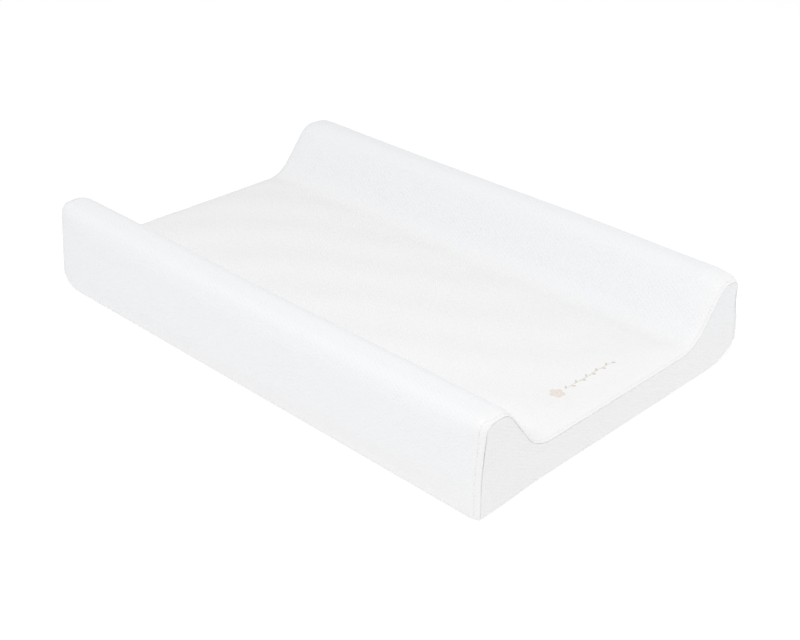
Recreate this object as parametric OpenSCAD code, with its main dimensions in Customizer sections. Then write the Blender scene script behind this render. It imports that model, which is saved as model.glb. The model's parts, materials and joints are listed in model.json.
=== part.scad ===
// Contoured changing pad: a foam core with two raised side bolsters, inside a sewn
// leatherette cover that closes with a zip in its rear end.
// Frame: origin at the centre of the footprint on the underside, +X across the pad,
// +Y towards the rear (zip) end, +Z up.

/* [Pad] */
// Length along the bolsters, mm
pad_length = 700; // [600:10:800]
// Width at the underside, mm
pad_width = 460; // [420:5:520]
// Height of the bolsters, mm
pad_height = 112; // [100:1:130]
// Height of the flat floor between the bolsters, mm
basin_height = 48; // [44:1:56]

/* [Bolsters] */
// How far each side wall leans in over its height, mm
wall_lean = 4.5; // [0:0.5:10]
// Distance from the wall's top to where the bolster starts to fall inwards, mm
crest_width = 38; // [32:1:45]
// Distance from the wall's top to the foot of the inner slope, mm
slope_foot = 88; // [80:1:95]
// Radius between the side wall and the crest, mm
wall_radius = 13; // [6:1:14]
// Radius between the crest and the inner slope, mm
crest_radius = 28; // [16:1:32]
// Radius between the inner slope and the floor, mm
foot_radius = 45; // [20:1:48]

/* [Cover] */
// Thickness of the leatherette with its backing, mm
skin = 1.2; // [0.8:0.1:2]
// Distance of the topstitching from each end seam, mm
topstitch_inset = 6; // [5:0.5:12]
// Thickness of the sewing thread, mm
thread = 0.8; // [0.5:0.1:1]

/* [Zip] */
// Height of the zip's middle above the underside, mm
zip_height = 24; // [20:1:26]
// Length of the opening in the rear end, mm
zip_window = 408; // [300:2:420]
// Pitch of the teeth on one tape, mm
tooth_pitch = 2.4; // [2.2:0.1:3]
// Length of the pull tab beyond its pin, mm
pull_length = 24; // [18:1:26]

/* [Print] */
// Distance of the printed motif from the front end, mm
print_inset = 43; // [30:1:80]
// How far the motif's middle lies from the pad's middle, mm
print_shift = -7; // [-20:1:20]
// Width of the printed motif, mm
print_width = 104; // [80:2:120]

/* [Hidden] */
$fn = 48;
arc_steps = 8;
over = 1;
half_l = pad_length / 2;
half_w = pad_width / 2;
top_half_w = half_w - wall_lean;

// Foam blocks: the middle block is a plain slab as wide as the flat floor
block_joint = 108;
// Clearance between the foam and the main panel over it
foam_gap = 0.1;

// Zip layout, in its own frame: X along the zip, Y out of the pad, Z up
tape_thickness = 0.5;
tape_width = 10;
chain_half = 3;
chain_thickness = 1.8;
tooth_reach = 1.2;
tooth_width = 1;
plate_thickness = 0.8;
plate_gap = 0.25;
plate_inner = chain_thickness / 2 + plate_gap;
plate_outer = plate_inner + plate_thickness;
slider_length = 13;
slider_half = 4.5;
flange_inner = chain_half + 0.4;
slot_half = tape_thickness / 2 + 0.3;
pin_radius = 0.65;
pin_bore_radius = 0.72;
eye_radius = 1.15;
bail_radius = 1.45;
bail_width = 1.8;
pin_out = plate_outer + 1.35;
pull_width = 5.6;
pull_thickness = 1;
fork_inner = bail_width / 2 + 0.15;
hem = 8;
zip_y = half_l - pin_out - bail_radius - 0.05;
window_half = zip_window / 2;
slider_x = -window_half + 18;
chain_start = slider_x + 2;
chain_end = window_half - 16;
stop_gap = 0.5;
top_stop_x = slider_x - slider_length / 2 - stop_gap;
top_stop_length = 2.4;
bottom_stop_x = chain_end + 0.2;
bottom_stop_length = 3;
panel_inner_y = half_l - skin;

// Print layout
print_y = -half_l + print_inset;
ink = 0.2;

// --- Section of the pad across its length, in X and Z ---

function unit(v) = v / norm(v);
function turned(v, angle) =
    [v.x * cos(angle) - v.y * sin(angle), v.x * sin(angle) + v.y * cos(angle)];

// Arc that rounds corner b of the path a, b, c, for the section shrunk by inset.
// side is 1 where the corner bulges out of the pad and -1 where it is hollow.
function rounded_corner(a, b, c, radius, side, inset) =
    let (
        u = unit(a - b),
        v = unit(c - b),
        half = acos(u * v) / 2,
        centre = b + unit(u + v) * radius / sin(half),
        start = unit(b + u * radius / tan(half) - centre) * (radius - side * inset),
        turn = -side * (180 - 2 * half)
    )
    [for (i = [0 : arc_steps]) centre + turned(start, turn * i / arc_steps)];

// X of the left wall's face at height z, for the section shrunk by inset
function wall_x(z, inset) =
    let (lean = wall_lean / pad_height)
    -half_w + lean * z + inset * sqrt(1 + lean * lean);

// The left half's outline from the wall at height z up over the bolster to the floor
function left_outline(inset, z) =
    let (
        low = [-half_w, 0],
        outer = [-top_half_w, pad_height],
        crest = [-top_half_w + crest_width, pad_height],
        foot = [-top_half_w + slope_foot, basin_height],
        floor_centre = [0, basin_height]
    )
    concat(
        [[wall_x(z, inset), z]],
        rounded_corner(low, outer, crest, wall_radius, 1, inset),
        rounded_corner(outer, crest, foot, crest_radius, 1, inset),
        rounded_corner(crest, foot, floor_centre, foot_radius, -1, inset)
    );

function mirrored(points) = [for (i = [len(points) - 1 : -1 : 0]) [-points[i].x, points[i].y]];

// The whole section, shrunk by inset, above height z
module section(inset, z) {
    left = left_outline(inset, z);
    polygon(concat(left, mirrored(left)));
}

// Extrudes a shape drawn in X and Z from y0 to y1
module along_y(y0, y1) {
    translate([0, y1, 0]) rotate([90, 0, 0]) linear_extrude(y1 - y0) children();
}

// A box given by its lowest and highest corners
module block(low, high) {
    translate(low) cube(high - low);
}

// --- Foam core ---

// Groove in the foam's rear face for the zip's tapes, with a deeper channel for the slider
module zip_groove() {
    reach = window_half + skin;
    at_zip() {
        block([-reach, -0.55, -hem - 5.3], [reach, 10, hem + 5.3]);
        block([-reach, -plate_outer - 0.4, -slider_half - 1], [reach, 10, slider_half + 1]);
    }
}

module foam(x0, x1) {
    difference() {
        along_y(-half_l + skin, half_l - skin) intersection() {
            section(skin + foam_gap, skin);
            translate([x0, 0]) square([x1 - x0, pad_height]);
        }
        zip_groove();
    }
}

module center_foam() {
    color("#f3ecd4") foam(-block_joint, block_joint);
}

module left_bolster_foam() {
    color("#efe4c4") foam(-half_w, -block_joint);
}

module right_bolster_foam() {
    color("#efe4c4") foam(block_joint, half_w);
}

// --- Cover ---

// The thread line that runs over the pad at y, sunk flush in the main panel
module topstitch_line(y) {
    along_y(y - thread / 2, y + thread / 2) difference() {
        section(0, skin + thread);
        section(thread / 2, -over);
    }
}

// The one-piece panel from the left bottom edge over both bolsters to the right bottom edge
module main_panel() {
    color("#f7f7f5") difference() {
        along_y(-half_l, half_l) difference() {
            section(0, skin);
            section(skin, -over);
        }
        topstitch_line(-half_l + topstitch_inset);
        topstitch_line(half_l - topstitch_inset);
        motif(ink + over);
    }
}

module bottom_panel() {
    color("#f0f0ee") block([-half_w, -half_l, 0], [half_w, half_l, skin]);
}

module front_end_panel() {
    color("#f2f2f0") along_y(-half_l, -half_l + skin) section(skin, skin);
}

// The rear end sheet above or below the zip's middle, with the zip's window cut out
module rear_sheet(z0, z1) {
    difference() {
        along_y(panel_inner_y, half_l) intersection() {
            section(skin, skin);
            translate([-half_w, z0]) square([pad_width, z1 - z0]);
        }
        at_zip() block([-window_half, -over, -hem], [window_half, 20, hem]);
        zip_stitch_line();
    }
}

// The folded edge beside the zip: it turns in to the tape and lies along it.
// side is 1 above the zip and -1 below it.
module zip_hem(side) {
    depth = panel_inner_y - zip_y;
    tape_face = tape_thickness / 2;
    at_zip() mirror([0, 0, side < 0 ? 1 : 0]) {
        block([-window_half, tape_face, hem], [window_half, depth, hem + skin]);
        block([-window_half, tape_face, hem + skin], [window_half, tape_face + skin, hem + 4.5]);
    }
}

module rear_upper_panel() {
    color("#f2f2f0") {
        difference() {
            rear_sheet(zip_height, pad_height);
            label_shape();
        }
        zip_hem(1);
    }
}

module rear_lower_panel() {
    color("#f2f2f0") {
        rear_sheet(0, zip_height);
        zip_hem(-1);
    }
}

// --- Zip ---

module at_zip() {
    translate([0, zip_y, zip_height]) children();
}

// One tape above the chain; the other is its mirror image
module zip_tape() {
    block(
        [-window_half, -tape_thickness / 2, chain_half],
        [window_half, tape_thickness / 2, chain_half + tape_width]
    );
}

module zipper_tape_upper() {
    color("#e9e9e6") at_zip() zip_tape();
}

module zipper_tape_lower() {
    color("#e9e9e6") at_zip() mirror([0, 0, 1]) zip_tape();
}

// One row of teeth on its spine; shift moves the teeth by half a pitch to mesh with the other row
module zip_chain(shift) {
    spine_inner = tooth_reach + 0.4;
    count = floor((chain_end - chain_start - shift) / tooth_pitch);
    rotate([90, 0, 0]) translate([0, 0, -chain_thickness / 2]) linear_extrude(chain_thickness) {
        translate([chain_start, spine_inner]) square([chain_end - chain_start, chain_half - spine_inner]);
        for (i = [0 : count - 1])
            translate([chain_start + shift + i * tooth_pitch, -tooth_reach])
                square([tooth_width, tooth_reach + spine_inner + 0.2]);
    }
}

module zipper_chain_upper() {
    color("#dededa") at_zip() zip_chain(0);
}

module zipper_chain_lower() {
    color("#dededa") at_zip() mirror([0, 0, 1]) zip_chain(tooth_pitch / 2);
}

// Two small clips that keep the slider on when the zip is closed
module zipper_top_stops() {
    color("silver") at_zip() for (side = [0, 1])
        mirror([0, 0, side]) difference() {
            block([top_stop_x - top_stop_length, -0.9, 1.4], [top_stop_x, 0.9, 4.4]);
            zip_tape();
        }
}

module zipper_bottom_stop() {
    color("silver") at_zip()
        block([bottom_stop_x, -0.9, -chain_half], [bottom_stop_x + bottom_stop_length, 0.9, chain_half]);
}

// Leatherette patches that close the two ends of the zip's window. Each stands along the window's
// end and has a flap that lies over the tapes, nearly as far as the stop.
module zipper_end_tabs() {
    depth = panel_inner_y - zip_y;
    flap_gap = 0.1;
    low = tape_thickness / 2 + flap_gap;
    reach_z = hem - flap_gap;
    flap_end = window_half + skin / 2;
    color("#f2f2f0") at_zip() {
        for (side = [0, 1])
            mirror([side, 0, 0])
                block([window_half, -0.25, -hem - skin], [window_half + skin, depth, hem + skin]);
        block([-flap_end, low, -reach_z], [top_stop_x - top_stop_length - 0.6, low + skin, reach_z]);
        block([bottom_stop_x + bottom_stop_length + 0.6, low, -reach_z], [flap_end, low + skin, reach_z]);
    }
}

// Plan of a slider plate: wide at its mouth end (-X), narrower where the closed chain leaves
module slider_plan() {
    polygon([
        [-6.5, -2.6], [-5, -slider_half], [-1, -slider_half], [4.6, -4], [6.5, -2.8],
        [6.5, 2.8], [4.6, 4], [-1, slider_half], [-5, slider_half], [-6.5, 2.6]
    ]);
}

// A plate of the slider, and the two flanges along its edges that reach almost to the tape
module slider_plate() {
    rotate([-90, 0, 0]) {
        translate([0, 0, plate_inner]) linear_extrude(plate_thickness) slider_plan();
        translate([0, 0, slot_half]) linear_extrude(plate_inner - slot_half + 0.01)
            difference() {
                slider_plan();
                square([20, 2 * flange_inner], center = true);
            }
    }
}

module zipper_slider() {
    color("gainsboro") at_zip() translate([slider_x, 0, 0]) difference() {
        union() {
            slider_plate();
            mirror([0, 1, 0]) slider_plate();
            // wedge between the mouths that parts the two rows of teeth
            rotate([90, 0, 0]) linear_extrude(2 * plate_inner + 0.2, center = true)
                polygon([[-5.8, -1.2], [-3.2, -1.2], [-1.2, 0], [-3.2, 1.2], [-5.8, 1.2]]);
            // bail that holds the pull tab's pin
            block([-bail_radius, plate_outer - 0.1, -bail_width / 2], [bail_radius, pin_out, bail_width / 2]);
            translate([0, pin_out, 0]) cylinder(r = bail_radius, h = bail_width, center = true);
        }
        translate([0, pin_out, 0]) cylinder(r = pin_bore_radius, h = 3 * bail_width, center = true);
    }
}

// Flat tab with a forked end; its pin turns in the slider's bail
module zipper_pull() {
    eye_length = pull_width / 2 - fork_inner;
    slot_end = 2.5;
    color("silver") at_zip() translate([slider_x, pin_out, 0]) {
        difference() {
            union() {
                block(
                    [0, -pull_thickness / 2, -pull_width / 2],
                    [pull_length - pull_width / 2, pull_thickness / 2, pull_width / 2]
                );
                translate([pull_length - pull_width / 2, 0, 0]) rotate([90, 0, 0])
                    cylinder(d = pull_width, h = pull_thickness, center = true);
            }
            block([-over, -over, -fork_inner], [slot_end, over, fork_inner]);
            translate([pull_length - pull_width / 2, 0, 0]) rotate([90, 0, 0])
                cylinder(r = 1.3, h = 3 * pull_thickness, center = true);
        }
        for (side = [0, 1])
            mirror([0, 0, side]) translate([0, 0, fork_inner]) cylinder(r = eye_radius, h = eye_length);
        cylinder(r = pin_radius, h = 2 * fork_inner + 0.2, center = true);
    }
}

// --- Stitching, label and print ---

module front_topstitching() {
    color("white") topstitch_line(-half_l + topstitch_inset);
}

module rear_topstitching() {
    color("white") topstitch_line(half_l - topstitch_inset);
}

// The thread line round the zip's window, sunk flush in the rear panels
module zip_stitch_line() {
    off = 2.5;
    x = window_half + off;
    z = hem + off;
    at_zip() difference() {
        block(
            [-x - thread, half_l - zip_y - thread / 2, -z - thread],
            [x + thread, half_l - zip_y, z + thread]
        );
        block([-x, 0, -z], [x, 20, z]);
    }
}

module zipper_stitching() {
    color("white") zip_stitch_line();
}

// Blank sewn-in label, sunk flush in the rear end beside the side seam
module label_shape() {
    label_thickness = 0.4;
    block([190, half_l - label_thickness, 52], [222, half_l, 72]);
}

module care_label() {
    color("white") label_shape();
}

// One leaf of the sprig; side is 1 above the stem and -1 below it
module leaf(side) {
    rotate(side * 38) translate([2.4, 0]) scale([1, 0.38]) circle(2.6);
}

// A five-petal flower and a leafy sprig that start just under the floor between the bolsters
module motif(height) {
    petal_ring = 6.2;
    petal_radius = 3.4;
    stem = 0.7;
    pairs = 8;
    start = -print_width / 2;
    flower_x = start + petal_ring + petal_radius;
    stem_start = flower_x + 14;
    leaf_pitch = (print_width / 2 - 5 - stem_start) / (pairs - 1);
    translate([print_shift, print_y, basin_height - ink]) linear_extrude(height) {
        for (petal = [0 : 4])
            translate([flower_x, 0]) rotate(90 + 72 * petal) translate([petal_ring, 0]) circle(petal_radius);
        translate([flower_x, 0]) circle(2);
        translate([stem_start, -stem / 2]) square([print_width / 2 - stem_start, stem]);
        for (i = [0 : pairs - 1])
            translate([stem_start + i * leaf_pitch, 0]) leaf(i % 2 == 0 ? 1 : -1);
    }
}

module printed_motif() {
    color("#d9c3ae") motif(ink);
}

center_foam();
left_bolster_foam();
right_bolster_foam();
main_panel();
bottom_panel();
front_end_panel();
rear_upper_panel();
rear_lower_panel();
zipper_tape_upper();
zipper_tape_lower();
zipper_chain_upper();
zipper_chain_lower();
zipper_top_stops();
zipper_bottom_stop();
zipper_end_tabs();
zipper_slider();
zipper_pull();
front_topstitching();
rear_topstitching();
zipper_stitching();
care_label();
printed_motif();
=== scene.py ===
import contextlib
import json
import math

import bmesh
import bpy
import numpy as np
from mathutils import Matrix, Vector, noise
from mathutils.bvhtree import BVHTree
from mathutils.kdtree import KDTree


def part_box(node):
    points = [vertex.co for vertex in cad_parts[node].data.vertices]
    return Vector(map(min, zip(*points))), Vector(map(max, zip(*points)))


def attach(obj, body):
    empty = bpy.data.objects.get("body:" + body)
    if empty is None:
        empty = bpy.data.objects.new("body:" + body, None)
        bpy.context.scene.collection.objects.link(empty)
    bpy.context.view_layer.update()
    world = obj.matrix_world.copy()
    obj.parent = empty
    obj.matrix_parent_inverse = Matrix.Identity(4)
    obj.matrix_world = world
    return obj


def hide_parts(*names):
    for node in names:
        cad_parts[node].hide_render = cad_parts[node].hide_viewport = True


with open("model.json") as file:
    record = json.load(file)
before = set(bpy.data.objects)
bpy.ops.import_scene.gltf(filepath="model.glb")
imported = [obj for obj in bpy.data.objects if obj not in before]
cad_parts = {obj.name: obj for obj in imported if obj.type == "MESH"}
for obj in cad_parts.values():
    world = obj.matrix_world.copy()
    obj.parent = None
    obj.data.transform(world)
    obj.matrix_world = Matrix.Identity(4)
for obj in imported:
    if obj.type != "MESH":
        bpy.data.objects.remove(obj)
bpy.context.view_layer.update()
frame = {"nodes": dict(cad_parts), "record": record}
MM = 0.001

# --- Sizes, from the frame and from the same values as the CAD ---

HALF_W, HALF_L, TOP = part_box("main_panel")[1]
# The leatherette, a little thinner than the CAD's panels
SHEET = 0.95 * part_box("bottom_panel")[1].z
FLOOR = next(m["pos_m"][2] for m in frame["record"]["mounts"] if m["name"] == "basin_floor")
WALL_LEAN = 4.5 * MM
CREST_WIDTH = 38 * MM
SLOPE_FOOT = 88 * MM
WALL_RADIUS = 13 * MM
CREST_RADIUS = 28 * MM
FOOT_RADIUS = 45 * MM

ZIP_Z = (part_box("zipper_chain_upper")[0].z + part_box("zipper_chain_lower")[1].z) / 2
ZIP_Y = sum(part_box("zipper_tape_upper")[i].y for i in (0, 1)) / 2
WINDOW_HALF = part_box("zipper_tape_upper")[1].x
HEM = 8 * MM

# The stitch line's distance from the end: on the side walls, and over the top
WALL_STITCH = 6 * MM
TOP_STITCH = 2.8 * MM

# The seams: the main panel rolls over by SEAM_INSET before it meets an end panel, and by
# SHOULDER_INSET more round its shoulders
SEAM_INSET = 4.8 * MM
SHOULDER_INSET = 2.4 * MM
ROLL_RADIUS = 0.9 * MM
ROLL_REACH = 13 * MM
END_REACH = 16 * MM
BASE_RADIUS = 4 * MM
BASE_LIP = 0.4 * MM
ALLOWANCE = 4.2 * MM
SEAM_GAP = 0.1 * MM


def assign(thing, **values):
    """Sets properties of a thing by their names."""
    for key, value in values.items():
        setattr(thing, key, value)
    return thing


def linked(name, data):
    """A new object in the scene."""
    made = bpy.data.objects.new(name, data)
    bpy.context.scene.collection.objects.link(made)
    return made


# --- Camera ---

def make_camera():
    """The photograph's viewpoint: its direction, distance, roll and lens."""
    aim = Vector((-0.00239, -0.0290, 0.0104))
    azimuth = math.radians(-46.492)
    elevation = math.radians(28.723)
    roll = math.radians(1.188)
    distance = 1.648
    data = bpy.data.cameras.new("camera")
    camera = linked("camera", assign(data, lens=61.1, sensor_width=36, clip_start=0.01))
    facing = Matrix.Rotation(azimuth, 4, "Z") @ Matrix.Rotation(math.pi / 2 - elevation, 4, "X")
    facing = facing @ Matrix.Rotation(roll, 4, "Z")
    camera.matrix_world = Matrix.Translation(aim) @ facing @ Matrix.Translation((0, 0, distance))
    bpy.context.scene.camera = camera


# --- Lights and floor ---

def area_light(name, location, target, size, power):
    data = bpy.data.lights.new(name, "AREA")
    lamp = linked(name, assign(data, shape="DISK", size=size, energy=power))
    turn = (Vector(target) - Vector(location)).to_track_quat("-Z", "Y").to_euler()
    assign(lamp, location=location, rotation_euler=turn)


def make_studio():
    """A white floor under a bright even dome, with a large soft key from the left and a small
    fill from the right."""
    scene = bpy.context.scene
    scene.view_settings.view_transform = "Standard"
    world = bpy.data.worlds.new("dome")
    world.use_nodes = True
    dome = world.node_tree
    connect(dome, dome.nodes["Background"], {"Color": (1, 1, 1, 1), "Strength": 0.7})
    scene.world = world
    area_light("key", (-1.05, -0.6, 2.62), (0, 0, 0.05), 1.6, 31)
    area_light("fill", (1.4, -1.0, 0.7), (0, -0.2, 0.05), 0.8, 3.0)

    bpy.ops.mesh.primitive_circle_add(vertices=96, radius=60, fill_type="NGON")
    floor = bpy.context.object
    floor.name = "floor"
    floor.location.z = -0.2 * MM
    paint, tree, shader = new_material("studio_floor")
    connect(tree, shader, {
        "Base Color": (0.5, 0.5, 0.5, 1),
        "Roughness": 0.9,
        "Specular IOR Level": 0,
        "Emission Color": (1, 1, 1, 1),
        "Emission Strength": 0.57,
    })
    floor.data.materials.append(paint)


# --- Materials ---

def new_material(name):
    made = bpy.data.materials.new(name)
    made.use_nodes = True
    return made, made.node_tree, made.node_tree.nodes["Principled BSDF"]


def connect(tree, made, inputs):
    """Gives a node's inputs values or other nodes' sockets."""
    for key, value in inputs.items():
        if isinstance(value, bpy.types.NodeSocket):
            tree.links.new(value, made.inputs[key])
        else:
            made.inputs[key].default_value = value


def node(tree, kind, inputs, output=0, **settings):
    """An output of a new shader node."""
    made = assign(tree.nodes.new("ShaderNode" + kind), **settings)
    connect(tree, made, inputs)
    return made.outputs[output]


def own_place(tree):
    return node(tree, "TexCoord", {}, "Object")


def noise_node(tree, place, scale, detail, output="Fac"):
    return node(tree, "TexNoise", {"Vector": place, "Scale": scale, "Detail": detail}, output)


def math_node(tree, operation, a, b=0.0):
    return node(tree, "Math", {0: a, 1: b}, operation=operation)


def product(tree, a, b):
    return math_node(tree, "MULTIPLY", a, b)


def remap(tree, value, low, high, to_low, to_high):
    ends = {"Value": value, "From Min": low, "From Max": high, "To Min": to_low, "To Max": to_high}
    return node(tree, "MapRange", ends, interpolation_type="SMOOTHSTEP")


def mix_colour(tree, factor, a, b):
    return node(tree, "Mix", {0: factor, 6: a, 7: b}, 2, data_type="RGBA")


def bump(tree, height, distance, normal=None, strength=1.0):
    inputs = {"Height": height, "Distance": distance, "Strength": strength}
    if normal is not None:
        inputs["Normal"] = normal
    return node(tree, "Bump", inputs, "Normal")


def leatherette(name, plain, painted_blue_light, cell, pit_depth, seams=False):
    """White coated fabric: shallow pits in loose diagonal rows, a fine grain and a soft gloss. The
    pits lie in the flat cut's own coordinates, as an embossing roller leaves them. The colour
    holds painted shade in the pits, a painted glint round their rims and a painted bluish light."""
    paint, tree, shader = new_material(name)
    place = own_place(tree)
    cut = node(tree, "Attribute", {}, "Vector", attribute_name="cut")
    turned_cut = node(tree, "Mapping", {"Vector": cut, "Rotation": (0, 0, math.radians(28))})
    drift = noise_node(tree, place, 45, 1, "Color")
    shifted = node(tree, "VectorMath", {0: drift, 1: (0.5, 0.5, 0.5)}, operation="SUBTRACT")
    wander = {0: shifted, 1: (0.9 * cell, 0.9 * cell, 0), 2: turned_cut}
    moved = node(tree, "VectorMath", wander, operation="MULTIPLY_ADD")
    pattern = {"Vector": moved, "Scale": 1 / cell, "Randomness": 0.32}
    pits = node(tree, "TexVoronoi", pattern, "Distance", voronoi_dimensions="2D")
    pit_height = remap(tree, pits, 0.03, 0.36, 0, 1)
    grain = noise_node(tree, place, 1300, 3)
    patchy = noise_node(tree, place, 28, 2)
    pressed = product(tree, pit_height, remap(tree, patchy, 0.3, 0.7, 0.7, 1))
    normal = bump(tree, pressed, pit_depth)
    normal = bump(tree, grain, 0.008 * MM, normal, 0.5)
    if seams:
        normal = seam_pucker(tree, cut, normal)
    # Painted bluish light: the base colour turns bluish where the attribute says
    painted_blue_light_share = node(tree, "Attribute", {}, "Fac", attribute_name="painted_blue_light")
    # Painted shade darkens each pit's middle and a painted glint brightens its rim; the colour is
    # also slightly darker between pits
    painted_pit_shade_and_glint = remap(tree, pits, 0.02, 0.24, 0.985, 1.008)
    shade = product(tree, painted_pit_shade_and_glint, remap(tree, pits, 0.24, 0.42, 1, 0.992))
    base = mix_colour(tree, painted_blue_light_share, plain, painted_blue_light)
    connect(tree, shader, {
        "Normal": normal,
        "Base Color": node(tree, "VectorMath", {0: base, "Scale": shade}, operation="SCALE"),
        "Roughness": remap(tree, grain, 0.3, 0.7, 0.42, 0.58),
        "Specular IOR Level": 0.38,
        "Sheen Weight": 0.1,
        "Sheen Roughness": 0.45,
    })
    return paint


def sine_along(tree, place, axis, pitch):
    """A sine wave of a given pitch along an axis of a place."""
    at = node(tree, "SeparateXYZ", {0: place}, axis)
    return math_node(tree, "SINE", product(tree, at, 2 * math.pi / pitch))


def seam_pucker(tree, cut, normal):
    """Pulls the cover down where each stitch enters it, fading away from the stitch line."""
    wave = sine_along(tree, cut, 0, STITCH_PITCH)
    off = node(tree, "SeparateXYZ", {0: cut}, 2)
    distance = math_node(tree, "ABSOLUTE", off)
    near = remap(tree, distance, 0.3 * MM, 3.5 * MM, 1, 0)
    return bump(tree, product(tree, wave, near), 0.05 * MM, normal)


def foam_material(name, tint, pore):
    """Open-cell foam: dense small pores of two sizes and no gloss, with painted shade in the pores.
    """
    paint, tree, shader = new_material(name)
    place = own_place(tree)
    cells = node(tree, "TexVoronoi", {"Vector": place, "Scale": 1 / pore}, "Distance")
    fine = node(tree, "TexVoronoi", {"Vector": place, "Scale": 2.7 / pore}, "Distance")
    pores = remap(tree, cells, 0.15, 0.6, 0, 1)
    normal = bump(tree, pores, 0.5 * pore)
    connect(tree, shader, {
        "Normal": bump(tree, remap(tree, fine, 0.1, 0.5, 0, 1), 0.2 * pore, normal),
        # Painted shade: the colour darkens in the pores
        "Base Color": mix_colour(tree, pores, darker(tint, 0.72), tint),
        "Roughness": 0.95,
        "Specular IOR Level": 0.1,
    })
    return paint


def darker(tint, share):
    return tuple(c * share for c in tint[:3]) + (1,)


def woven_material(name, tint, pitch, depth, sheen=0.2, roughness=0.75):
    """A fine woven ribbon: warp and weft threads that pass over each other, with painted shade
    where they dip.
    """
    paint, tree, shader = new_material(name)
    place = own_place(tree)
    warp, weft = sine_along(tree, place, 0, pitch), sine_along(tree, place, 2, pitch)
    height = product(tree, warp, weft)
    normal = bump(tree, height, depth)
    # Painted shade: the colour darkens where the threads dip under each other
    shade = remap(tree, height, -0.9, 0.3, 0, 1)
    connect(tree, shader, {
        "Normal": bump(tree, noise_node(tree, place, 2500, 2), depth * 0.6, normal),
        "Base Color": mix_colour(tree, shade, darker(tint, 0.88), tint),
        "Roughness": roughness,
        "Sheen Weight": sheen,
    })
    return paint


def flecked_material(name, texture, depth, low, high, more, sharpen=None, **settings):
    """A material whose height and colour follow one fine texture, given as its node's kind and
    inputs. The colour goes from low to high, within the range of the texture in sharpen."""
    paint, tree, shader = new_material(name)
    kind, inputs = texture
    fleck = node(tree, kind, {"Vector": own_place(tree), **inputs}, "Fac", **settings)
    share = remap(tree, fleck, *sharpen, 0, 1) if sharpen else fleck
    connect(tree, shader, {
        "Normal": bump(tree, fleck, depth),
        "Base Color": mix_colour(tree, share, low + (1,), high + (1,)),
        **more,
    })
    return paint


def ink_material(name, tint):
    """Screen-print ink: thin, matt and a little uneven, so the cover shows through it."""
    speckle = ("TexNoise", {"Scale": 900, "Detail": 3})
    pale = tuple(0.45 * c + 0.5 for c in tint)
    return flecked_material(name, speckle, 0.03 * MM, pale, tint, {"Roughness": 0.7}, (0.3, 0.6))


def metal_material():
    """Satin nickel with fine brushed scratches and a patchy tarnish."""
    paint, tree, shader = new_material("satin_nickel")
    place = own_place(tree)
    stretched = node(tree, "Mapping", {"Vector": place, "Scale": (300, 4000, 4000)})
    brush = noise_node(tree, stretched, 1, 3)
    tarnish = noise_node(tree, place, 180, 3)
    connect(tree, shader, {
        "Normal": bump(tree, brush, 0.02 * MM),
        "Base Color": mix_colour(tree, tarnish, (0.62, 0.61, 0.6, 1), (0.78, 0.78, 0.77, 1)),
        "Roughness": remap(tree, brush, 0.3, 0.7, 0.24, 0.4),
        "Metallic": 1,
    })
    return paint


# --- The pad's section across its length, as points in X and Z ---

def unit(vector):
    return vector / np.linalg.norm(vector)


def circle(count):
    """Angles evenly round a circle."""
    return np.arange(count) * 2 * math.pi / count


def lengths(route):
    """Each point's distance from the first, along the route."""
    steps = np.linalg.norm(np.diff(route, axis=0), axis=1)
    return np.concatenate([[0], np.cumsum(steps)])


def side_by_side(*columns):
    return np.stack(columns, 1)


def rounded_corner(a, b, c, radius, side, inset, count):
    """Arc that rounds corner b of the path a, b, c, in the section shrunk by inset."""
    u, v = unit(a - b), unit(c - b)
    half = math.acos(float(u @ v)) / 2
    centre = b + unit(u + v) * radius / math.sin(half)
    start = unit(b + u * radius / math.tan(half) - centre) * (radius - side * inset)
    angles = np.linspace(0, -side * (math.pi - 2 * half), count)
    cos, sin = np.cos(angles), np.sin(angles)
    return centre + side_by_side(start[0] * cos - start[1] * sin, start[0] * sin + start[1] * cos)


def line(a, b, count):
    """The count points strictly between a and b."""
    share = np.linspace(0, 1, count + 2)[1:-1, None]
    return a + (b - a) * share


def wall_x(z, inset):
    """X of the left wall's face at height z."""
    lean = WALL_LEAN / TOP
    return -HALF_W + lean * z + inset * math.sqrt(1 + lean * lean)


# How many points each stretch of the outline has
FOLD_POINTS = 5
BASE_ARC = 6
WALL_STEPS = 25
WALL_ARC = 10
CREST_ARC = 11
SLOPE_STEPS = 12
FOOT_ARC = 15
FLOOR_STEPS = 27


def mirrored(points):
    """The left half's points, then the right half's in turn, without repeating the middle one."""
    return np.concatenate([points, points[-2::-1] * (-1, 1)])


def upper_left(inset):
    """From the top of the left wall over the bolster to the middle of the floor."""
    top_half = HALF_W - WALL_LEAN
    low = np.array([-HALF_W, 0])
    outer = np.array([-top_half, TOP])
    crest = np.array([-top_half + CREST_WIDTH, TOP])
    foot = np.array([-top_half + SLOPE_FOOT, FLOOR])
    middle = np.array([0, FLOOR])
    shoulder = rounded_corner(low, outer, crest, WALL_RADIUS, 1, inset, WALL_ARC)
    ridge = rounded_corner(outer, crest, foot, CREST_RADIUS, 1, inset, CREST_ARC)
    toe = rounded_corner(crest, foot, middle, FOOT_RADIUS, -1, inset, FOOT_ARC)
    end = np.array([0, FLOOR - inset])
    return np.concatenate([
        shoulder,
        line(shoulder[-1], ridge[0], 2),
        ridge,
        line(ridge[-1], toe[0], SLOPE_STEPS),
        toe,
        line(toe[-1], end, FLOOR_STEPS),
        end[None],
    ])


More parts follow.
